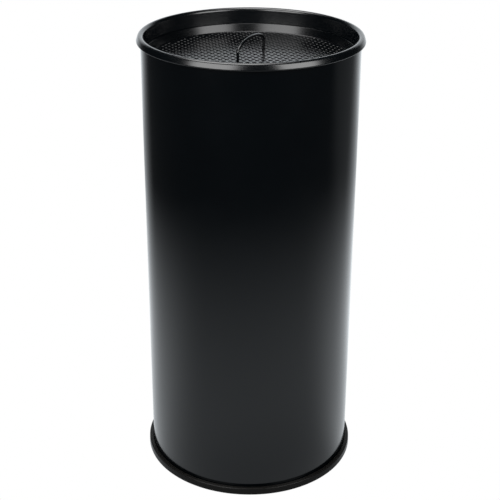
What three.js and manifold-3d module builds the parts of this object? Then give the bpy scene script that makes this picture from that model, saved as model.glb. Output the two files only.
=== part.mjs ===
// A round free-standing umbrella stand: a rolled steel tube on a moulded base ring, with a pressed
// floor pan inside it. A sand bowl hangs in the top by its rolled rim, and a sieve with a wire handle
// lies on a ledge inside the bowl. Bowl and sieve lift straight out.
//
// Millimetres, +Z up, origin on the ground at the centre of the stand. The handle spans along X.

import * as THREE from "three";
import { mergeVertices } from "three/addons/utils/BufferGeometryUtils.js";
import Module from "manifold-3d";

// The whole stand
const HEIGHT = 500; // ground to the top of the rim
const TUBE_RADIUS = 116; // outside of the tube
const SHEET = 0.8; // thickness of the steel sheet
const GAP = 0.3; // room between pieces that touch
const SEGMENTS = 48; // sides of every round piece
const BEND_STEP = Math.PI / 4; // turn of one straight step in a bend

// Tube
const HEM_DEPTH = 8; // how far the hem reaches down inside the tube
const HEM_BEND = 0.6; // radius of the hem's fold, at the middle of the sheet

// Base ring
const RING_RADIUS = 121.2; // outside of the ring
const RING_HEIGHT = 8; // ground to the ring's top, outside the tube
const RING_WEB = 2; // thickness under the tube's edge
const RING_LIP = 2.4; // thickness of the lip inside the tube
const RING_LIP_HEIGHT = 6;
const RING_ROUNDING = 1.5;

// Floor pan
const PAN_UNDERSIDE = 8; // ground to the lowest part of the pan
const PAN_WALL = 22; // height of its upturned wall
const PAN_CORNER = 5;
const PAN_PANEL_RADIUS = 86; // edge of the raised middle panel
const PAN_PANEL_RISE = 2;

// Sand bowl, with depths below the top of the rim
const RIM_INNER_RADIUS = 112.4; // inside of the bowl's wall
const RIM_TOP_BEND = 3.3; // outside radius of the bend over the top of the rim
const RIM_SLANT = (20 / 180) * Math.PI; // how far the rim's skirt leans out from upright
const RIM_SKIRT = 3.75; // length of the skirt
const RIM_ROLL = 1.1; // outside radius of the roll that hides the sheet's edge
const RIM_ROLL_TURN = (170 / 180) * Math.PI;
const LEDGE_DEPTH = 27;
const LEDGE_INNER_RADIUS = 105;
const LEDGE_BEND = 1.6;
const BOWL_DEPTH = 68;
const BOWL_FLOOR_RADIUS = 100;
const BOWL_CORNER = 10;
const BOWL_PANEL_RADIUS = 62; // edge of the raised middle of its floor
const BOWL_PANEL_RISE = 2;
const PANEL_BEND = 3; // radius of the bends at the edge of a raised panel
const PANEL_SLOPE = 4; // width of the slope at the edge of a raised panel

// Sieve
const PLATE = 1; // thickness of the plate
const SIEVE_RADIUS = 111.4;
const FLANGE_HEIGHT = 9.2; // underside of the plate to the top of the flange
const FLANGE_BEND = 1.5;
const FLANGE_LEAN = 3.2; // how far the flange leans outwards on its way up
const LEG_HOLE_RADIUS = 2.35; // the legs go through two of the perforations
const LEG_HOLE_SIDES = 16;

// Wire handle
const WIRE_RADIUS = 1.5;
const WIRE_SIDES = 8;
const WIRE_STEPS = 64;
const HANDLE_HALF_SPAN = 31.5; // centre of the stand to the middle of a leg
const LEG_HEIGHT = 11.5; // top of the plate to where the arch starts
const ARCH_RISE = 10;
const TOE_LENGTH = 7.5; // straight part of each turned-out end
const TOE_BEND = 2.5;
const TOE_DROP = 0.5; // room between the plate and the turned-out ends

const paint = new THREE.MeshStandardMaterial({ color: 0x101112, roughness: 0.28, metalness: 0 });
const sievePaint = new THREE.MeshStandardMaterial({ color: 0x121314, roughness: 0.34, metalness: 0 });
const ringPlastic = new THREE.MeshStandardMaterial({ color: 0x1a1b1c, roughness: 0.5, metalness: 0 });

/** The line through the corners [r, z] or [r, z, radius]; a corner with a radius is rounded to it. */
function rounded(corners) {
  const points = corners.map(([r, z]) => new THREE.Vector2(r, z));
  return points.flatMap((corner, i) => {
    const radius = corners[i][2];
    if (!radius) return [corner];
    const into = corner.clone().sub(points[i - 1]).normalize();
    const out = points[i + 1].clone().sub(corner).normalize();
    const turn = Math.acos(into.dot(out));
    const side = Math.sign(into.cross(out));
    const start = corner.clone().addScaledVector(into, -radius * Math.tan(turn / 2));
    const centre = start.clone().add(new THREE.Vector2(-into.y, into.x).multiplyScalar(side * radius));
    return arc(start, centre, side * turn);
  });
}

/** Points on the arc that starts at a point and turns round a centre, both ends included. */
function arc(start, centre, turn) {
  const steps = Math.max(2, Math.ceil(Math.abs(turn) / BEND_STEP));
  return Array.from({ length: steps + 1 }, (_, k) =>
    start.clone().rotateAround(centre, (turn * k) / steps),
  );
}

/** One face of a sheet: the middle line moved sideways, to the left of its direction if positive. */
function faceOf(line, distance) {
  const normals = line.slice(1).map((point, i) => {
    const along = point.clone().sub(line[i]).normalize();
    return new THREE.Vector2(-along.y, along.x);
  });
  return line.map((point, i) => {
    const before = normals[Math.max(i - 1, 0)];
    const after = normals[Math.min(i, normals.length - 1)];
    const mitre = before.clone().add(after);
    return point.clone().addScaledVector(mitre, distance / (1 + before.dot(after)));
  });
}

/** A closed outline in (r, z), turned round the Z axis. */
function turned(outline) {
  const points = THREE.ShapeUtils.area(outline) > 0 ? outline : outline.slice().reverse();
  const onAxis = points[0].x === 0 && points.at(-1).x === 0;
  const profile = onAxis ? points : [...points, points[0].clone()];
  return new THREE.LatheGeometry(profile, SEGMENTS).rotateX(Math.PI / 2);
}

/** A sheet of even thickness, turned round the Z axis from its middle line in (r, z). */
function turnedSheet(line, thickness) {
  const half = thickness / 2;
  return turned([...faceOf(line, -half), ...faceOf(line, half).reverse()]);
}

/** The corners of a floor that starts on the axis with a raised round panel. */
function raisedPanel(radius, floor, rise) {
  return [
    [0, floor + rise],
    [radius, floor + rise, PANEL_BEND],
    [radius + PANEL_SLOPE, floor, PANEL_BEND],
  ];
}

function tubeGeometry() {
  const wall = TUBE_RADIUS - SHEET / 2;
  // The fold sits under the bend of the bowl's rim, a gap away from it.
  const rimBendRadius = RIM_INNER_RADIUS + RIM_TOP_BEND;
  const reach = RIM_TOP_BEND - SHEET - GAP - HEM_BEND - SHEET / 2;
  const top = HEIGHT - RIM_TOP_BEND + Math.sqrt(reach ** 2 - (rimBendRadius - wall + HEM_BEND) ** 2);
  const foldStart = new THREE.Vector2(wall, top);
  const foldCentre = new THREE.Vector2(wall - HEM_BEND, top);
  const line = [
    new THREE.Vector2(wall, RING_WEB + GAP),
    ...arc(foldStart, foldCentre, Math.PI),
    new THREE.Vector2(wall - 2 * HEM_BEND, top - HEM_DEPTH),
  ];
  return turnedSheet(line, SHEET);
}

function ringGeometry() {
  const grooveOuter = TUBE_RADIUS + GAP;
  const grooveInner = TUBE_RADIUS - SHEET - GAP;
  const lipInner = grooveInner - RING_LIP;
  return turned(
    rounded([
      [lipInner, 0],
      [RING_RADIUS, 0],
      [RING_RADIUS, RING_HEIGHT, RING_ROUNDING],
      [grooveOuter, RING_HEIGHT],
      [grooveOuter, RING_WEB],
      [grooveInner, RING_WEB],
      [grooveInner, RING_LIP_HEIGHT],
      [lipInner, RING_LIP_HEIGHT],
    ]),
  );
}

function panGeometry() {
  const floor = PAN_UNDERSIDE + SHEET / 2;
  const wall = TUBE_RADIUS - SHEET - GAP - SHEET / 2;
  const line = rounded([
    ...raisedPanel(PAN_PANEL_RADIUS, floor, PAN_PANEL_RISE),
    [wall, floor, PAN_CORNER],
    [wall, PAN_UNDERSIDE + PAN_WALL],
  ]);
  return turnedSheet(line, SHEET);
}

/** The bowl, with the top of its rim at z = 0. */
function bowlGeometry() {
  const floor = -BOWL_DEPTH + SHEET / 2;
  const ledge = -LEDGE_DEPTH - SHEET / 2;
  const wall = RIM_INNER_RADIUS + SHEET / 2;
  const line = rounded([
    ...raisedPanel(BOWL_PANEL_RADIUS, floor, BOWL_PANEL_RISE),
    [BOWL_FLOOR_RADIUS, floor, BOWL_CORNER],
    [LEDGE_INNER_RADIUS, ledge, LEDGE_BEND],
    [wall, ledge, LEDGE_BEND],
    [wall, -RIM_TOP_BEND],
  ]);
  return turnedSheet([...line, ...rimLine().slice(1)], SHEET);
}

/** The middle of the rim's sheet: over the top, down the skirt and round the roll. */
function rimLine() {
  const outwards = new THREE.Vector2(Math.cos(RIM_SLANT), Math.sin(RIM_SLANT));
  const down = new THREE.Vector2(Math.sin(RIM_SLANT), -Math.cos(RIM_SLANT));
  const start = new THREE.Vector2(RIM_INNER_RADIUS + SHEET / 2, -RIM_TOP_BEND);
  const bendCentre = new THREE.Vector2(RIM_INNER_RADIUS + RIM_TOP_BEND, -RIM_TOP_BEND);
  const bend = arc(start, bendCentre, RIM_SLANT - Math.PI);
  const skirtEnd = bend[bend.length - 1].clone().addScaledVector(down, RIM_SKIRT);
  const rollCentre = skirtEnd.clone().addScaledVector(outwards, SHEET / 2 - RIM_ROLL);
  return [...bend, ...arc(skirtEnd, rollCentre, -RIM_ROLL_TURN)];
}

/** A closed geometry as a solid that can be cut. */
function solidOf(wasm, geometry) {
  const bare = geometry.clone();
  bare.deleteAttribute("normal");
  bare.deleteAttribute("uv");
  const merged = mergeVertices(bare, 1e-4);
  const index = merged.index.array;
  const triVerts = [];
  for (let i = 0; i < index.length; i += 3) {
    const [a, b, c] = index.slice(i, i + 3);
    if (a !== b && b !== c && c !== a) triVerts.push(a, b, c);
  }
  const mesh = new wasm.Mesh({
    numProp: 3,
    vertProperties: new Float32Array(merged.attributes.position.array),
    triVerts: new Uint32Array(triVerts),
  });
  return new wasm.Manifold(mesh);
}

/** A cut solid as a geometry again. */
function geometryOf(solid) {
  const mesh = solid.getMesh();
  const geometry = new THREE.BufferGeometry();
  geometry.setAttribute("position", new THREE.BufferAttribute(new Float32Array(mesh.vertProperties), 3));
  geometry.setIndex([...mesh.triVerts]);
  geometry.computeVertexNormals();
  return geometry;
}

/** The sieve's plate and flange, with the plate's underside at z = 0 and a hole for each leg. */
function sieveGeometry(wasm) {
  const flange = SIEVE_RADIUS - PLATE / 2;
  const line = rounded([
    [0, PLATE / 2],
    [flange - FLANGE_LEAN, PLATE / 2, FLANGE_BEND],
    [flange, FLANGE_HEIGHT],
  ]);
  const punches = [-1, 1].map((side) =>
    new THREE.CylinderGeometry(LEG_HOLE_RADIUS, LEG_HOLE_RADIUS, 4 * PLATE, LEG_HOLE_SIDES)
      .rotateX(Math.PI / 2)
      .translate(side * HANDLE_HALF_SPAN, 0, PLATE / 2),
  );
  let sieve = solidOf(wasm, turnedSheet(line, PLATE));
  for (const punch of punches) sieve = sieve.subtract(solidOf(wasm, punch));
  return geometryOf(sieve);
}

/** The handle's wire, in the XZ plane, with the plate's underside at z = 0. */
function handleGeometry() {
  const toe = -TOE_DROP - WIRE_RADIUS;
  const bendX = HANDLE_HALF_SPAN + TOE_BEND;
  const bendZ = toe + TOE_BEND;
  const shoulder = PLATE + LEG_HEIGHT;
  const line = new THREE.Path();
  line.moveTo(-bendX - TOE_LENGTH, toe);
  line.lineTo(-bendX, toe);
  line.absarc(-bendX, bendZ, TOE_BEND, -Math.PI / 2, 0);
  line.lineTo(-HANDLE_HALF_SPAN, shoulder);
  line.absellipse(0, shoulder, HANDLE_HALF_SPAN, ARCH_RISE, Math.PI, 0, true);
  line.lineTo(HANDLE_HALF_SPAN, bendZ);
  line.absarc(bendX, bendZ, TOE_BEND, Math.PI, 1.5 * Math.PI);
  line.lineTo(bendX + TOE_LENGTH, toe);
  const points = line.getSpacedPoints(2 * WIRE_STEPS).map((p) => new THREE.Vector3(p.x, 0, p.y));
  const section = new THREE.Shape().absarc(0, 0, WIRE_RADIUS, 0, 2 * Math.PI);
  return new THREE.ExtrudeGeometry(section, {
    steps: WIRE_STEPS,
    curveSegments: WIRE_SIDES / 2,
    extrudePath: new THREE.CatmullRomCurve3(points),
  });
}

function addPiece(parent, name, geometry, material) {
  const piece = new THREE.Mesh(geometry, material);
  piece.name = name;
  parent.add(piece);
}

const wasm = await Module();
wasm.setup();

const group = new THREE.Group();
addPiece(group, "stand_tube", tubeGeometry(), paint);
addPiece(group, "floor_pan", panGeometry(), paint);
addPiece(group, "base_ring", ringGeometry(), ringPlastic);

const bowl = new THREE.Group();
bowl.position.z = HEIGHT;
group.add(bowl);
addPiece(bowl, "sand_bowl", bowlGeometry(), paint);

const sieve = new THREE.Group();
sieve.position.z = GAP - LEDGE_DEPTH;
bowl.add(sieve);
addPiece(sieve, "sieve_plate", sieveGeometry(wasm), sievePaint);
addPiece(sieve, "sieve_handle", handleGeometry(), sievePaint);

export default group;
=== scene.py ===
import math

import bpy
from mathutils import Matrix, Vector
from mathutils.geometry import delaunay_2d_cdt


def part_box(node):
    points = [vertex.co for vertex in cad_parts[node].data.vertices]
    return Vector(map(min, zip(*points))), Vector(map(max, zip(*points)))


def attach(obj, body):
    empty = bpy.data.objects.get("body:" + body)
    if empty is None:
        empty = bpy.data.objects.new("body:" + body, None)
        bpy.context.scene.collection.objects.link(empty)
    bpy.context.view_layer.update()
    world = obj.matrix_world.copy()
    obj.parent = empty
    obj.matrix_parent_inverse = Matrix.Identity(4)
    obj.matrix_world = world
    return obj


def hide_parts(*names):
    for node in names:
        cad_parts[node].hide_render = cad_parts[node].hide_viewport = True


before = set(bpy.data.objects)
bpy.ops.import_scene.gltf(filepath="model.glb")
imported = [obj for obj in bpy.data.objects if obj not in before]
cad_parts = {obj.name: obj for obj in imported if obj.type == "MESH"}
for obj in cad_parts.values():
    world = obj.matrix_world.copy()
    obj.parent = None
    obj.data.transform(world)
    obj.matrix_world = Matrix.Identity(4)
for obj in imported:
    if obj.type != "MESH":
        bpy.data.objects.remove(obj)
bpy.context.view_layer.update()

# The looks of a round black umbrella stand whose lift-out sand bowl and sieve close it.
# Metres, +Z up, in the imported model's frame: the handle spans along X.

MM = 0.001

# ---------------------------------------------------------------------------------------------
# Sizes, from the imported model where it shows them
# ---------------------------------------------------------------------------------------------
tube_low, tube_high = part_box("stand_tube")
pan_low, pan_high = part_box("floor_pan")
ring_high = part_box("base_ring")[1]
bowl_low, bowl_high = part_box("sand_bowl")
sieve_low, sieve_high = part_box("sieve_plate")
handle_low, handle_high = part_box("sieve_handle")

SHEET = 0.8 * MM
GAP = 0.3 * MM
HEIGHT = bowl_high.z
TUBE_RADIUS = tube_high.x
TUBE_MIDDLE = TUBE_RADIUS - SHEET / 2
HEM_BEND = 0.6 * MM
HEM_DEPTH = 8 * MM

RIM_INNER_RADIUS = 112.4 * MM
RIM_TOP_BEND = 3.3 * MM
RIM_SLANT = math.radians(20)
RIM_SKIRT = 3.75 * MM
RIM_ROLL = 1.1 * MM
RIM_ROLL_TURN = math.radians(170)
LEDGE_Z = sieve_low.z - GAP - SHEET / 2
LEDGE_INNER_RADIUS = 105 * MM
LEDGE_BEND = 1.6 * MM
BOWL_FLOOR_RADIUS = 100 * MM
BOWL_CORNER = 10 * MM
BOWL_PANEL_RADIUS = 62 * MM
PAN_CORNER = 5 * MM
PAN_PANEL_RADIUS = 86 * MM
PANEL_RISE = 2 * MM
PANEL_BEND = 3 * MM
PANEL_SLOPE = 4 * MM

PLATE = 1 * MM
PLATE_TOP = sieve_low.z + PLATE
SIEVE_RADIUS = sieve_high.x
FLANGE_BEND = 1.5 * MM
FLANGE_LEAN = 3.2 * MM
PLATE_MARGIN = 0.75
HOLE_PITCH = 7 * MM
HOLE_RADIUS = 2.35 * MM
HOLE_SIDES = 16
HOLE_ROLL = 0.25 * MM
HOLES_REACH = SIEVE_RADIUS - 5.4 * MM

WIRE_RADIUS = handle_high.y
TOE_BEND = 2.5 * MM
TOE_LENGTH = 7.5 * MM
HANDLE_HALF_SPAN = handle_high.x - TOE_LENGTH - TOE_BEND
ARCH_RISE = 10 * MM
SHOULDER_Z = handle_high.z - WIRE_RADIUS - ARCH_RISE

ROUND_STEPS = 240
BEND_STEP = math.radians(10)
SHARP_ANGLE = math.radians(32)
ON_AXIS = 1e-9

# The camera stands this far round from looking along +Y, and the tube's seam is opposite it.
VIEW_TURN = math.radians(-64.5)
VIEW_ACROSS = Vector((math.cos(VIEW_TURN), math.sin(VIEW_TURN), 0))
VIEW_ALONG = Vector((-math.sin(VIEW_TURN), math.cos(VIEW_TURN), 0))
SEAM_ANGLE = math.atan2(VIEW_ALONG.y, VIEW_ALONG.x)


# ---------------------------------------------------------------------------------------------
# Outlines in (r, z)
# ---------------------------------------------------------------------------------------------
def arc(start, centre, turn):
    """Points on the arc that starts at a point and turns round a centre, both ends included."""
    steps = max(2, math.ceil(abs(turn) / BEND_STEP))
    turns = [Matrix.Rotation(turn * k / steps, 2) for k in range(steps + 1)]
    return [centre + rotation @ (start - centre) for rotation in turns]


def rounded(corners):
    """The line through corners (r, z), or (r, z, radius) where a corner is rounded."""
    points = [Vector(corner[:2]) for corner in corners]
    line = []
    for i, corner in enumerate(points):
        if len(corners[i]) < 3:
            line.append(corner)
            continue
        radius = corners[i][2]
        into = (corner - points[i - 1]).normalized()
        out = (points[(i + 1) % len(points)] - corner).normalized()
        turn = math.atan2(into.cross(out), into.dot(out))
        side = math.copysign(1, turn)
        start = corner - into * radius * math.tan(abs(turn) / 2)
        centre = start + Vector((-into.y, into.x)) * side * radius
        line += arc(start, centre, turn)
    return line


def face_of(line, distance):
    """One face of a sheet: the middle line moved sideways, to its left if positive."""
    normals = []
    for a, b in zip(line, line[1:]):
        along = (b - a).normalized()
        normals.append(Vector((-along.y, along.x)))
    face = []
    for i, point in enumerate(line):
        before = normals[max(i - 1, 0)]
        after = normals[min(i, len(normals) - 1)]
        face.append(point + (before + after) * distance / (1 + before.dot(after)))
    return face


def sheet_outline(line, thickness):
    """The outline of a sheet round its middle line, with rounded edges where it has edges."""
    right, left = face_of(line, -thickness / 2), face_of(line, thickness / 2)
    outline = right + arc(right[-1], line[-1], math.pi)[1:-1] + left[::-1]
    if line[0].x > 0:
        outline += arc(left[0], line[0], math.pi)[1:-1]
    return outline


def raised_panel(radius, floor, rise):
    """Corners of a floor that starts on the axis with a raised round panel."""
    return [
        (0, floor + rise),
        (radius, floor + rise, PANEL_BEND),
        (radius + PANEL_SLOPE, floor, PANEL_BEND),
    ]


# ---------------------------------------------------------------------------------------------
# Meshes
# ---------------------------------------------------------------------------------------------
def even_angles():
    return [2 * math.pi * k / ROUND_STEPS for k in range(ROUND_STEPS)]


def add_piece(name, vertices, faces, material, body, node, slot):
    """A smooth piece with sharp edges where it turns sharply; it stands for a CAD node."""
    mesh = bpy.data.meshes.new(name)
    mesh.from_pydata(vertices, [], faces)
    mesh.validate()
    mesh.shade_smooth()
    mesh.set_sharp_from_angle(angle=SHARP_ANGLE)
    mesh.materials.append(material)
    piece = bpy.data.objects.new(name, mesh)
    bpy.context.scene.collection.objects.link(piece)
    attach(piece, body)
    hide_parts(node)
    return piece


def turned(outline, angles, bulge=None):
    """Vertices and faces of an outline (r, z) turned round Z; bulge(angle, z) adds to r."""
    on_axis = [point.x < ON_AXIS for point in outline]
    closes = not (on_axis[0] and on_axis[-1])
    vertices, columns = [], []
    for angle in angles:
        column = []
        for k, point in enumerate(outline):
            if on_axis[k] and columns:
                column.append(columns[0][k])
                continue
            r = point.x + (bulge(angle, point.y) if bulge else 0)
            column.append(len(vertices))
            vertices.append((r * math.cos(angle), r * math.sin(angle), point.y))
        columns.append(column)
    count = len(outline)
    steps = [(k, (k + 1) % count) for k in range(count if closes else count - 1)]
    faces = []
    for a, b in zip(columns, columns[1:] + columns[:1]):
        for i, j in steps:
            corners = [a[i], b[i], b[j], a[j]]
            faces.append([v for k, v in enumerate(corners) if v not in corners[:k]])
    return vertices, faces


# ---------------------------------------------------------------------------------------------
# Tube, with a lapped and spot-welded seam at the back
# ---------------------------------------------------------------------------------------------
SEAM_STEP = 0.25 * MM
SEAM_FADE = 14 * MM
SEAM_WIDTH = 0.7 * MM
WELD_SPACING = 30 * MM
WELD_RADIUS = 2.4 * MM
WELD_DEPTH = 0.14 * MM
WELD_INSET = 5 * MM
WELD_ROWS = 4
SEAM_FINE_STEPS = range(-4, 21)
SEAM_CLEARANCE = 0.01


def weld_heights():
    count = int((tube_high.z - tube_low.z - WELD_SPACING) // WELD_SPACING)
    first = (tube_high.z + tube_low.z) / 2 - (count - 1) * WELD_SPACING / 2
    return [first + k * WELD_SPACING for k in range(count)]


def seam_bulge(angle, z):
    """How far the wall stands out near the seam: a pressed lap and a row of spot-weld dents."""
    along = (angle - SEAM_ANGLE + math.pi) % (2 * math.pi) - math.pi
    s = along * TUBE_RADIUS
    if abs(s) > SEAM_FADE:
        return 0
    fade = 0.5 + 0.5 * math.cos(math.pi * s / SEAM_FADE)
    lap = SEAM_STEP * fade if s > SEAM_WIDTH else 0
    if 0 <= s <= SEAM_WIDTH:
        lap = SEAM_STEP * s / SEAM_WIDTH
    nearest = min(weld_heights(), key=lambda height: abs(height - z))
    distance = math.hypot(s - WELD_INSET, z - nearest)
    if distance < WELD_RADIUS:
        lap -= WELD_DEPTH * (0.5 + 0.5 * math.cos(math.pi * distance / WELD_RADIUS))
    return lap


def tube_angles():
    """Even steps round the tube, and fine steps across the seam."""
    fine = [SEAM_ANGLE + s * SEAM_WIDTH / TUBE_RADIUS for s in SEAM_FINE_STEPS]
    coarse = [
        angle
        for angle in even_angles()
        if not fine[0] - SEAM_CLEARANCE < angle < fine[-1] + SEAM_CLEARANCE
    ]
    return sorted(coarse + fine)


def tube_outline():
    top = tube_high.z - SHEET / 2 - HEM_BEND
    wall = TUBE_MIDDLE
    bottom = tube_low.z
    rows = sorted(
        z + k * WELD_RADIUS / WELD_ROWS
        for z in weld_heights()
        for k in range(-WELD_ROWS, WELD_ROWS + 1)
    )
    line = [Vector((wall, bottom + SHEET / 2))]
    line += [Vector((wall, z)) for z in rows]
    line += arc(Vector((wall, top)), Vector((wall - HEM_BEND, top)), math.pi)
    line.append(Vector((wall - 2 * HEM_BEND, top - HEM_DEPTH)))
    return sheet_outline(line, SHEET)


# ---------------------------------------------------------------------------------------------
# Other round pieces
# ---------------------------------------------------------------------------------------------
RING_WEB = 2 * MM
RING_LIP_HEIGHT = 6 * MM
RING_LIP = 2.4 * MM
RING_EDGE = 0.5 * MM
RING_FOOT_EDGE = 0.8 * MM
RING_TOP_EDGE = 1.5 * MM
RING_DRAFT = 0.3 * MM


def ring_outline():
    groove_outer = TUBE_RADIUS + GAP
    groove_inner = TUBE_RADIUS - SHEET - GAP
    lip_inner = groove_inner - RING_LIP
    outer, top = ring_high.x, ring_high.z
    return rounded([
        (lip_inner, 0, RING_EDGE),
        (outer, 0, RING_FOOT_EDGE),
        (outer - RING_DRAFT, top, RING_TOP_EDGE),
        (groove_outer, top, RING_EDGE),
        (groove_outer, RING_WEB, RING_EDGE),
        (groove_inner, RING_WEB, RING_EDGE),
        (groove_inner, RING_LIP_HEIGHT, RING_EDGE),
        (lip_inner, RING_LIP_HEIGHT, RING_EDGE),
    ])


def pan_outline():
    floor = pan_low.z + SHEET / 2
    wall = pan_high.x - SHEET / 2
    return sheet_outline(rounded([
        *raised_panel(PAN_PANEL_RADIUS, floor, PANEL_RISE),
        (wall, floor, PAN_CORNER),
        (wall, pan_high.z - SHEET / 2),
    ]), SHEET)


def bowl_outline():
    floor = bowl_low.z + SHEET / 2
    wall = RIM_INNER_RADIUS + SHEET / 2
    line = rounded([
        *raised_panel(BOWL_PANEL_RADIUS, floor, PANEL_RISE),
        (BOWL_FLOOR_RADIUS, floor, BOWL_CORNER),
        (LEDGE_INNER_RADIUS, LEDGE_Z, LEDGE_BEND),
        (wall, LEDGE_Z, LEDGE_BEND),
        (wall, HEIGHT - RIM_TOP_BEND),
    ])
    return sheet_outline(line + rim_line()[1:], SHEET)


def rim_line():
    """The middle of the rim's sheet: over the top, down the skirt and round the roll."""
    outwards = Vector((math.cos(RIM_SLANT), math.sin(RIM_SLANT)))
    down = Vector((math.sin(RIM_SLANT), -math.cos(RIM_SLANT)))
    start = Vector((RIM_INNER_RADIUS + SHEET / 2, HEIGHT - RIM_TOP_BEND))
    centre = Vector((RIM_INNER_RADIUS + RIM_TOP_BEND, HEIGHT - RIM_TOP_BEND))
    bend = arc(start, centre, RIM_SLANT - math.pi)
    skirt_end = bend[-1] + down * RIM_SKIRT
    roll_centre = skirt_end + outwards * (SHEET / 2 - RIM_ROLL)
    return bend + arc(skirt_end, roll_centre, -RIM_ROLL_TURN)


# ---------------------------------------------------------------------------------------------
# Sieve: a punched plate with an upturned flange
# ---------------------------------------------------------------------------------------------
def plate_holes():
    """Centres of the punched holes; the handle's legs go through two of them."""
    across = Vector((HOLE_PITCH, 0))
    slanted = Matrix.Rotation(math.radians(60), 2) @ across
    reach = math.ceil(2 * SIEVE_RADIUS / HOLE_PITCH)
    centres = [
        across * (i + 0.5) + slanted * j
        for i in range(-reach, reach + 1)
        for j in range(-reach, reach + 1)
    ]
    return [centre for centre in centres if centre.length < HOLES_REACH - HOLE_RADIUS]


def circle(centre, radius, sides, turn=0):
    angles = [turn + 2 * math.pi * k / sides for k in range(sides)]
    return [centre + Vector((math.cos(a), math.sin(a))) * radius for a in angles]


def plate_triangles(rings):
    """Triangles between the rings, as numbers into all their points joined; rings[0] is outside."""
    points, edges, owner = [], [], []
    for number, ring in enumerate(rings):
        first = len(points)
        points += ring
        edges += [(first + k, first + (k + 1) % len(ring)) for k in range(len(ring))]
        owner += [number] * len(ring)
    _, _, faces, origin, _, _ = delaunay_2d_cdt(points, edges, [], 1, 1e-7, True)
    triangles = [[origin[v][0] for v in face] for face in faces]
    return [t for t in triangles if owner[t[0]] == 0 or len({owner[v] for v in t}) > 1]


def sieve_mesh():
    holes = plate_holes()
    wall = SIEVE_RADIUS - PLATE / 2
    foot = wall - FLANGE_LEAN
    margin = foot - PLATE_MARGIN * FLANGE_BEND
    edge = circle(Vector((0, 0)), margin, ROUND_STEPS)
    wide = [edge] + [circle(centre, HOLE_RADIUS + HOLE_ROLL, HOLE_SIDES) for centre in holes]
    tight = [edge] + [circle(centre, HOLE_RADIUS, HOLE_SIDES) for centre in holes]
    triangles = plate_triangles(wide)
    bottom = sieve_low.z
    levels = [(wide, PLATE_TOP), (tight, PLATE_TOP - HOLE_ROLL), (tight, bottom)]
    vertices = [(p.x, p.y, z) for rings, z in levels for ring in rings for p in ring]
    count = sum(len(ring) for ring in wide)
    faces = list(triangles)
    faces += [[v + 2 * count for v in reversed(t)] for t in triangles]
    first = ROUND_STEPS
    for _ in holes:
        for k in range(HOLE_SIDES):
            a, b = first + k, first + (k + 1) % HOLE_SIDES
            faces.append([a, b, b + count, a + count])
            faces.append([a + count, b + count, b + 2 * count, a + 2 * count])
        first += HOLE_SIDES
    line = rounded([
        (margin, bottom + PLATE / 2),
        (foot, bottom + PLATE / 2, FLANGE_BEND),
        (wall, sieve_high.z - PLATE / 2),
    ])
    right, left = face_of(line, -PLATE / 2), face_of(line, PLATE / 2)
    outline = right + arc(right[-1], line[-1], math.pi)[1:-1] + left[::-1]
    grid = []
    for k in range(ROUND_STEPS):
        direction = edge[k].normalized()
        column = [2 * count + k]
        for point in outline[1:-1]:
            column.append(len(vertices))
            vertices.append((direction.x * point.x, direction.y * point.x, point.y))
        grid.append(column + [k])
    for a, b in zip(grid, grid[1:] + grid[:1]):
        faces += [[a[i], b[i], b[i + 1], a[i + 1]] for i in range(len(a) - 1)]
    return vertices, faces


# ---------------------------------------------------------------------------------------------
# Wire handle
# ---------------------------------------------------------------------------------------------
WIRE_SIDES = 20
WIRE_CHAMFER = 0.3 * MM
ARCH_STEPS = 64


def handle_line():
    """The wire's middle line in (x, z), from one turned-out end over the arch to the other."""
    toe_z = handle_low.z + WIRE_RADIUS
    bend_x = HANDLE_HALF_SPAN + TOE_BEND
    bend_z = toe_z + TOE_BEND
    foot = arc(Vector((bend_x, toe_z)), Vector((bend_x, bend_z)), -math.pi / 2)
    arch = [
        Vector((
            HANDLE_HALF_SPAN * math.cos(math.pi * k / ARCH_STEPS),
            SHOULDER_Z + ARCH_RISE * math.sin(math.pi * k / ARCH_STEPS),
        ))
        for k in range(ARCH_STEPS + 1)
    ]
    end = [Vector((bend_x + TOE_LENGTH, toe_z))]
    right = end + foot
    left = [Vector((-p.x, p.y)) for p in reversed(right)]
    return right + arch + left


def handle_mesh():
    line = handle_line()
    vertices, rings = [], []

    def add_ring(point, along, radius):
        normal = Vector((-along.y, along.x))
        rings.append(range(len(vertices), len(vertices) + WIRE_SIDES))
        for k in range(WIRE_SIDES):
            a = 2 * math.pi * k / WIRE_SIDES
            p = point + normal * radius * math.cos(a)
            vertices.append((p.x, radius * math.sin(a), p.y))

    first, last = (line[1] - line[0]).normalized(), (line[-1] - line[-2]).normalized()
    add_ring(line[0], first, WIRE_RADIUS - WIRE_CHAMFER)
    add_ring(line[0] + first * WIRE_CHAMFER, first, WIRE_RADIUS)
    for before, point, after in zip(line, line[1:], line[2:]):
        add_ring(point, (after - before).normalized(), WIRE_RADIUS)
    add_ring(line[-1] - last * WIRE_CHAMFER, last, WIRE_RADIUS)
    add_ring(line[-1], last, WIRE_RADIUS - WIRE_CHAMFER)
    faces = [list(rings[0]), list(reversed(rings[-1]))]
    for a, b in zip(rings, rings[1:]):
        for k in range(WIRE_SIDES):
            j = (k + 1) % WIRE_SIDES
            faces.append([a[k], b[k], b[j], a[j]])
    return vertices, faces


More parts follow.
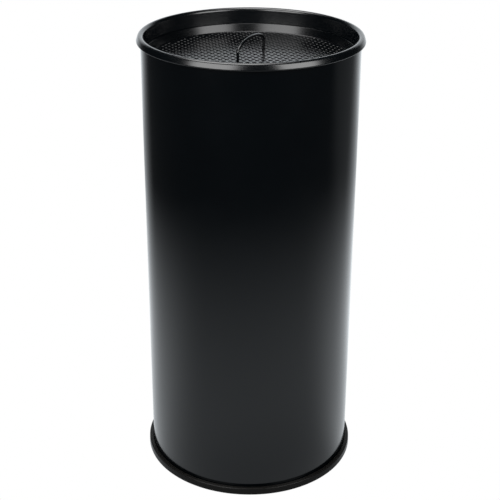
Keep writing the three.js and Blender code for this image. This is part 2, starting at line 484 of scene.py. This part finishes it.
# ---------------------------------------------------------------------------------------------
# Materials
# ---------------------------------------------------------------------------------------------
class Nodes:
    """A short way to write a material's nodes."""

    def __init__(self, name):
        self.material = bpy.data.materials.new(name)
        self.material.use_nodes = True
        self.tree = self.material.node_tree
        self.tree.nodes.clear()

    def add(self, kind, inputs=None, **settings):
        node = self.tree.nodes.new("ShaderNode" + kind)
        for key, value in settings.items():
            setattr(node, key, value)
        for key, value in (inputs or {}).items():
            self.set(node.inputs[key], value)
        return node

    def set(self, socket, value):
        if isinstance(value, bpy.types.NodeSocket):
            self.tree.links.new(value, socket)
        else:
            socket.default_value = value

    def noise(self, scale, detail=2.0, rough=0.5, stretch=(1, 1, 1)):
        place = self.add("TexCoord").outputs["Object"]
        mapped = self.add("Mapping", {"Vector": place, "Scale": stretch}).outputs[0]
        inputs = {"Vector": mapped, "Scale": scale, "Detail": detail, "Roughness": rough}
        return self.add("TexNoise", inputs).outputs["Fac"]

    def ramp(self, value, low, high, to_low, to_high, kind="LINEAR"):
        """The value moved from the range low..high to the range to_low..to_high."""
        inputs = {
            "Value": value,
            "From Min": low,
            "From Max": high,
            "To Min": to_low,
            "To Max": to_high,
        }
        return self.add("MapRange", inputs, interpolation_type=kind).outputs[0]

    def ease(self, value, low, high, to_low, to_high):
        """A ramp with soft ends."""
        return self.ramp(value, low, high, to_low, to_high, "SMOOTHSTEP")

    def mix(self, factor, a, b):
        node = self.add("Mix", data_type="RGBA")
        self.set(node.inputs[0], factor)
        self.set(node.inputs[6], a)
        self.set(node.inputs[7], b)
        return node.outputs[2]

    def maths(self, operation, a, b=0.0):
        node = self.add("Math", operation=operation)
        self.set(node.inputs[0], a)
        self.set(node.inputs[1], b)
        return node.outputs[0]

    def height_of(self, direction):
        return self.add("SeparateXYZ", {"Vector": direction}).outputs["Z"]

    def finish(self, shader):
        out = self.add("OutputMaterial")
        self.set(out.inputs["Surface"], shader.outputs[0])
        return self.material


def grey(value, tint=0.0):
    """A grey, cooler by the tint or warmer if it is negative."""
    return (value * (1 - tint), value, value * (1 + tint), 1)


PAINT_TINT = 0.6
PAINT_CLOUDS = 1.5
PAINT_DUST = grey(0.025, -0.05)
DUST_SLOPE = 0.55
DUST_COVER = 0.5
ROUGHNESS_SPREAD = (-0.025, 0.035)
GRAIN_ROUGHNESS = 0.04
GRAIN_HEIGHT = 1 / 8


def paint_material(name, base, roughness, peel_height, ior=1.5):
    """Semi-gloss black paint: orange peel, faint cloudiness, fine dust on what faces up."""
    n = Nodes(name)
    cloud = n.noise(14, 3)
    peel = n.noise(420, 2)
    grain = n.noise(1900, 2)
    facing = n.height_of(n.add("NewGeometry").outputs["Normal"])
    speckle = n.ramp(n.noise(650, 4, 0.7), 0.6, 0.78, 0, 1)
    dust = n.maths("MULTIPLY", n.ramp(facing, DUST_SLOPE, 1, 0, DUST_COVER), speckle)
    colour = n.mix(cloud, grey(base, PAINT_TINT), grey(base * PAINT_CLOUDS, PAINT_TINT))
    colour = n.mix(dust, colour, PAINT_DUST)
    smooth, dull = [roughness + change for change in ROUGHNESS_SPREAD]
    rough = n.ramp(cloud, 0.3, 0.7, smooth, dull)
    rough = n.maths("ADD", rough, n.maths("MULTIPLY", grain, GRAIN_ROUGHNESS))
    bump = n.add("Bump", {"Height": peel, "Strength": 1.0, "Distance": peel_height})
    bump = n.add("Bump", {
        "Height": grain,
        "Strength": 1.0,
        "Distance": peel_height * GRAIN_HEIGHT,
        "Normal": bump.outputs[0],
    })
    return n.finish(n.add("BsdfPrincipled", {
        "Base Color": colour,
        "Roughness": rough,
        "Normal": bump.outputs[0],
        "IOR": ior,
    }))


RING_DARK = grey(0.005, -0.05)
RING_LIGHT = grey(0.0065, -0.05)
RING_SCUFF = grey(0.009)
RING_ROUGHNESS = (0.24, 0.3)
SCUFF_ROUGHNESS = 0.15
SCUFF_COVER = 0.5
SCUFF_STRETCH = (1, 1, 8)
RING_TEXTURE = 0.02 * MM
RING_IOR = 1.18


def ring_material():
    """Satin moulded plastic with a fine spark-eroded texture and light scuffs along it."""
    n = Nodes("ring_plastic_moulded")
    fine = n.noise(2600, 3, 0.6)
    cloud = n.noise(25, 3)
    scuff = n.ramp(n.noise(90, 5, 0.7, SCUFF_STRETCH), 0.58, 0.75, 0, SCUFF_COVER)
    colour = n.mix(cloud, RING_DARK, RING_LIGHT)
    colour = n.mix(scuff, colour, RING_SCUFF)
    rough = n.ramp(cloud, 0.3, 0.7, *RING_ROUGHNESS)
    rough = n.maths("ADD", rough, n.maths("MULTIPLY", scuff, SCUFF_ROUGHNESS))
    bump = n.add("Bump", {"Height": fine, "Strength": 1.0, "Distance": RING_TEXTURE})
    return n.finish(n.add("BsdfPrincipled", {
        "Base Color": colour,
        "Roughness": rough,
        "Normal": bump.outputs[0],
        "IOR": RING_IOR,
    }))


# ---------------------------------------------------------------------------------------------
# The object
# ---------------------------------------------------------------------------------------------
body_paint = paint_material("body_paint_black", 0.0007, 0.12, 0.004 * MM)
bowl_paint = paint_material("bowl_paint_black", 0.0007, 0.18, 0.005 * MM)
sieve_paint = paint_material("sieve_paint_black", 0.0005, 0.2, 0.004 * MM, 1.42)
ring_plastic = ring_material()

add_piece("tube_wall", *turned(tube_outline(), tube_angles(), seam_bulge),
          body_paint, "stand", "stand_tube", "body_paint")
add_piece("pan_pressed", *turned(pan_outline(), even_angles()),
          body_paint, "stand", "floor_pan", "body_paint")
add_piece("ring_moulded", *turned(ring_outline(), even_angles()),
          ring_plastic, "stand", "base_ring", "ring_plastic")
add_piece("bowl_drawn", *turned(bowl_outline(), even_angles()),
          bowl_paint, "bowl", "sand_bowl", "body_paint")
add_piece("sieve_punched", *sieve_mesh(),
          sieve_paint, "sieve", "sieve_plate", "sieve_paint")
add_piece("handle_wire", *handle_mesh(),
          sieve_paint, "sieve", "sieve_handle", "sieve_paint")

# ---------------------------------------------------------------------------------------------
# Camera
# ---------------------------------------------------------------------------------------------
CAMERA_DISTANCE = 10.266 * TUBE_RADIUS
CAMERA_HEIGHT = 6.918 * TUBE_RADIUS
CAMERA_PITCH = math.radians(24.903)
CAMERA_ROLL = math.radians(0.29)
CAMERA_LENS = 83.158

SENSOR_WIDTH = 36


def add_camera():
    """The camera stands in front, above the object, and looks down at it."""
    data = bpy.data.cameras.new("camera")
    data.lens = CAMERA_LENS
    data.sensor_width = SENSOR_WIDTH
    camera = bpy.data.objects.new("camera", data)
    bpy.context.scene.collection.objects.link(camera)
    up = Vector((0, 0, 1))
    look = VIEW_ALONG * math.cos(CAMERA_PITCH) - up * math.sin(CAMERA_PITCH)
    facing = look.to_track_quat("-Z", "Y").to_matrix()
    camera.location = -VIEW_ALONG * CAMERA_DISTANCE + up * CAMERA_HEIGHT
    camera.rotation_euler = (facing @ Matrix.Rotation(CAMERA_ROLL, 3, "Z")).to_euler()
    bpy.context.scene.camera = camera


add_camera()

# ---------------------------------------------------------------------------------------------
# Floor, backdrop and lights; the floor and backdrop glow with painted light. Ranges are in metres,
# or ratios of distances; brightness 1 is plain white.
# ---------------------------------------------------------------------------------------------
FLOOR_REACH = 6.0
FLOOR_HEIGHT = -0.3 * MM
# Brightness of the floor's painted light: a painted pool of light round the object, brighter beside
# it, dim far off and brighter far to the right.
FLOOR_MIDDLE = 0.04
FLOOR_NEAR = 0.55
FLOOR_BESIDE = 0.85
FLOOR_FAR = 0.05
FLOOR_FAR_RIGHT = 2 * FLOOR_FAR
# How much a painted shadow round the object's foot darkens the floor's painted light.
FLOOR_FOOT_SHADOW = 0.12
NEAR_FADE = (0.3, 1.0)
# Where the painted shadow at the foot fades out.
FOOT_SHADOW_FADE = (0.12, 0.3)
FRONT_FADE = (0, 0.7)
# How the painted shadow at the foot fades in towards the front.
FOOT_SHADOW_FRONT_FADE = (0.3, 0.9)
RIGHT_FADE = (0, 0.3)
BEHIND_FADE = (-0.1, 0.3)
SMALLEST_DISTANCE = 0.1

SWEEP_MIDDLE = 0.05
SWEEP_NEAR = 0.65
SWEEP_FAR = 1.3
SWEEP_START = 0.3
SWEEP_ACROSS_FADE = (0.2, 1.1)
SWEEP_NEAR_FADE = (-0.1, 0.6)
SWEEP_FAR_FADE = (0.9, 1.7)
PAPER_LIGHT = (0.94, 0.99, 1.03, 1)
WHITE = (1, 1, 1, 1)

BACKDROP_PLACE = 1.9
BACKDROP_REACH = 1.8
BACKDROP_BOTTOM = 0.01
BACKDROP_TOP = 1.5
BACKDROP_LEAST = 0.03

SOFTBOX_AIM = Vector((0, 0, 0.45))
SOFTBOX_DISTANCE = 1.35
SOFT_PART = 0.55
SOFTBOX_RISE = math.radians(24)
LEFT_TURN = math.radians(-37)
RIGHT_TURN = math.radians(47)
ROOM_LIGHT = 0.02


def in_view(across, along, up):
    """A point given as seen by the camera: across to the right, along away from it, up."""
    return VIEW_ACROSS * across + VIEW_ALONG * along + Vector((0, 0, up))


def place_in_view(n):
    """The shaded point as seen from the camera's side: X to the right, Y away, Z up."""
    place = n.add("NewGeometry").outputs["Position"]
    inputs = {"Vector": place, "Axis": (0, 0, 1), "Angle": -VIEW_TURN}
    turned_to_view = n.add("VectorRotate", inputs)
    return n.add("SeparateXYZ", {"Vector": turned_to_view.outputs[0]}).outputs


def sweep_light(n, place):
    """How bright the painted light on the paper behind the object is: most straight behind it, less
    to the sides.
    """
    aside = n.maths("ABSOLUTE", n.maths("SUBTRACT", place["X"], SWEEP_MIDDLE))
    spread = n.maths("MAXIMUM", n.maths("ADD", place["Y"], SWEEP_START), SWEEP_START)
    across = n.ease(n.maths("DIVIDE", aside, spread), *SWEEP_ACROSS_FADE, 1, 0)
    near = n.ease(place["Y"], *SWEEP_NEAR_FADE, 0, SWEEP_NEAR)
    far = n.ease(place["Y"], *SWEEP_FAR_FADE, 0, SWEEP_FAR - SWEEP_NEAR)
    return n.maths("MULTIPLY", n.maths("ADD", near, far), across)


def floor_light(n, place):
    """How bright the floor's painted light is: a painted pool of light round the object, more at
    its sides, and far behind it, with a painted shadow at its foot in front.
    """
    aside = n.maths("SUBTRACT", place["X"], FLOOR_MIDDLE)
    level = n.add("CombineXYZ", {"X": aside, "Y": place["Y"]}).outputs[0]
    distance = n.add("VectorMath", {0: level}, operation="LENGTH").outputs["Value"]
    backwards = n.maths("MULTIPLY", n.maths("MAXIMUM", distance, SMALLEST_DISTANCE), -1.0)
    in_front = n.maths("DIVIDE", place["Y"], backwards)
    around = n.ease(in_front, *FRONT_FADE, FLOOR_BESIDE, FLOOR_NEAR)
    near = n.maths("MULTIPLY", n.ease(distance, *NEAR_FADE, 1, 0), around)
    # Painted shadow: the floor's painted light is darkened round the object's foot, in front of it.
    foot = n.ease(distance, *FOOT_SHADOW_FADE, FLOOR_FOOT_SHADOW, 0)
    foot = n.maths("MULTIPLY", foot, n.ease(in_front, *FOOT_SHADOW_FRONT_FADE, 0, 1))
    near = n.maths("SUBTRACT", near, foot)
    right = n.ease(place["X"], *RIGHT_FADE, 0, 1)
    right = n.maths("MULTIPLY", right, n.ease(place["Y"], *BEHIND_FADE, 0, 1))
    far = n.maths("ADD", n.maths("MULTIPLY", right, FLOOR_FAR_RIGHT), FLOOR_FAR)
    return n.maths("ADD", n.maths("ADD", near, sweep_light(n, place)), far)


def floor_material():
    """White paper. The camera sees it plain white, and the object sees it glow with painted light
    in patches, as under studio lamps, with a painted shadow at its foot. From below it is clear, so
    that the underside can be looked at."""
    n = Nodes("floor_white_painted_light")
    white = n.add("Emission", {"Color": WHITE, "Strength": 1.0})
    strength = floor_light(n, place_in_view(n))
    lit = n.add("Emission", {"Color": PAPER_LIGHT, "Strength": strength})
    both = n.add("MixShader", {"Fac": n.add("LightPath").outputs["Is Camera Ray"]})
    n.set(both.inputs[1], lit.outputs[0])
    n.set(both.inputs[2], white.outputs[0])
    from_below = n.add("MixShader", {"Fac": n.add("NewGeometry").outputs["Backfacing"]})
    n.set(from_below.inputs[1], both.outputs[0])
    n.set(from_below.inputs[2], n.add("BsdfTransparent").outputs[0])
    return n.finish(from_below)


def backdrop_material():
    """Paper that stands far behind the object and glows with painted light, as the floor before it.
    """
    n = Nodes("backdrop_painted_light")
    strength = n.maths("ADD", sweep_light(n, place_in_view(n)), BACKDROP_LEAST)
    return n.finish(n.add("Emission", {"Color": PAPER_LIGHT, "Strength": strength}))


def softbox_material(name, width, height, strength):
    """The glow of a softbox: even in the middle and fading to its edges."""
    n = Nodes(name)
    place = n.add("SeparateXYZ", {"Vector": n.add("TexCoord").outputs["Object"]}).outputs
    half_width, half_height = width / 2, height / 2
    across = n.maths("ABSOLUTE", place["X"])
    across = n.ease(across, SOFT_PART * half_width, half_width, strength, 0)
    along = n.maths("ABSOLUTE", place["Y"])
    along = n.ease(along, SOFT_PART * half_height, half_height, 1, 0)
    front = n.maths("SUBTRACT", 1.0, n.add("NewGeometry").outputs["Backfacing"])
    glow = n.maths("MULTIPLY", n.maths("MULTIPLY", across, along), front)
    return n.finish(n.add("Emission", {"Color": WHITE, "Strength": glow}))


def add_plane(name, corners, material):
    mesh = bpy.data.meshes.new(name)
    mesh.from_pydata([tuple(c) for c in corners], [], [range(len(corners))])
    mesh.materials.append(material)
    plane = bpy.data.objects.new(name, mesh)
    bpy.context.scene.collection.objects.link(plane)
    return plane


def add_softbox(name, place, width, height, strength):
    """A softbox that faces the top of the object. The camera doesn't see it."""
    sides = ((1, -1), (1, 1), (-1, 1), (-1, -1))
    corners = [(side * width / 2, end * height / 2, 0) for side, end in sides]
    softbox = add_plane(name, corners, softbox_material(name, width, height, strength))
    softbox.location = place
    softbox.rotation_euler = (place - SOFTBOX_AIM).to_track_quat("-Z", "Y").to_euler()
    softbox.visible_camera = False


def beside_camera(turn, rise):
    """The place of a softbox turned this far from the camera and raised this far."""
    level = SOFTBOX_DISTANCE * math.cos(rise)
    up = SOFTBOX_AIM.z + SOFTBOX_DISTANCE * math.sin(rise)
    return in_view(level * math.sin(turn), -level * math.cos(turn), up)


def add_floor():
    add_plane("floor", [
        in_view(-FLOOR_REACH, -FLOOR_REACH, FLOOR_HEIGHT),
        in_view(FLOOR_REACH, -FLOOR_REACH, FLOOR_HEIGHT),
        in_view(FLOOR_REACH, FLOOR_REACH, FLOOR_HEIGHT),
        in_view(-FLOOR_REACH, FLOOR_REACH, FLOOR_HEIGHT),
    ], floor_material())


def add_backdrop():
    backdrop = add_plane("backdrop", [
        in_view(-BACKDROP_REACH, BACKDROP_PLACE, BACKDROP_BOTTOM),
        in_view(BACKDROP_REACH, BACKDROP_PLACE, BACKDROP_BOTTOM),
        in_view(BACKDROP_REACH, BACKDROP_PLACE, BACKDROP_TOP),
        in_view(-BACKDROP_REACH, BACKDROP_PLACE, BACKDROP_TOP),
    ], backdrop_material())
    backdrop.visible_camera = False


def add_world():
    """White to the camera, and a faint light to everything else."""
    world = bpy.data.worlds.new("studio")
    world.use_nodes = True
    bpy.context.scene.world = world
    tree = world.node_tree
    tree.nodes.clear()
    seen = tree.nodes.new("ShaderNodeLightPath")
    both = tree.nodes.new("ShaderNodeMixShader")
    tree.links.new(seen.outputs["Is Camera Ray"], both.inputs[0])
    for socket, strength in ((both.inputs[1], ROOM_LIGHT), (both.inputs[2], 1.0)):
        light = tree.nodes.new("ShaderNodeBackground")
        light.inputs["Color"].default_value = WHITE
        light.inputs["Strength"].default_value = strength
        tree.links.new(light.outputs[0], socket)
    tree.links.new(both.outputs[0], tree.nodes.new("ShaderNodeOutputWorld").inputs[0])


add_floor()
add_backdrop()
add_softbox("softbox_left", beside_camera(LEFT_TURN, SOFTBOX_RISE), 1.35, 1.2, 7)
add_softbox("softbox_right", beside_camera(RIGHT_TURN, SOFTBOX_RISE), 1.15, 1.2, 7)
add_softbox("softbox_overhead", in_view(-0.25, 0.1, 1.9), 1.5, 1.5, 7.5)
add_world()
bpy.context.scene.view_settings.view_transform = "Standard"
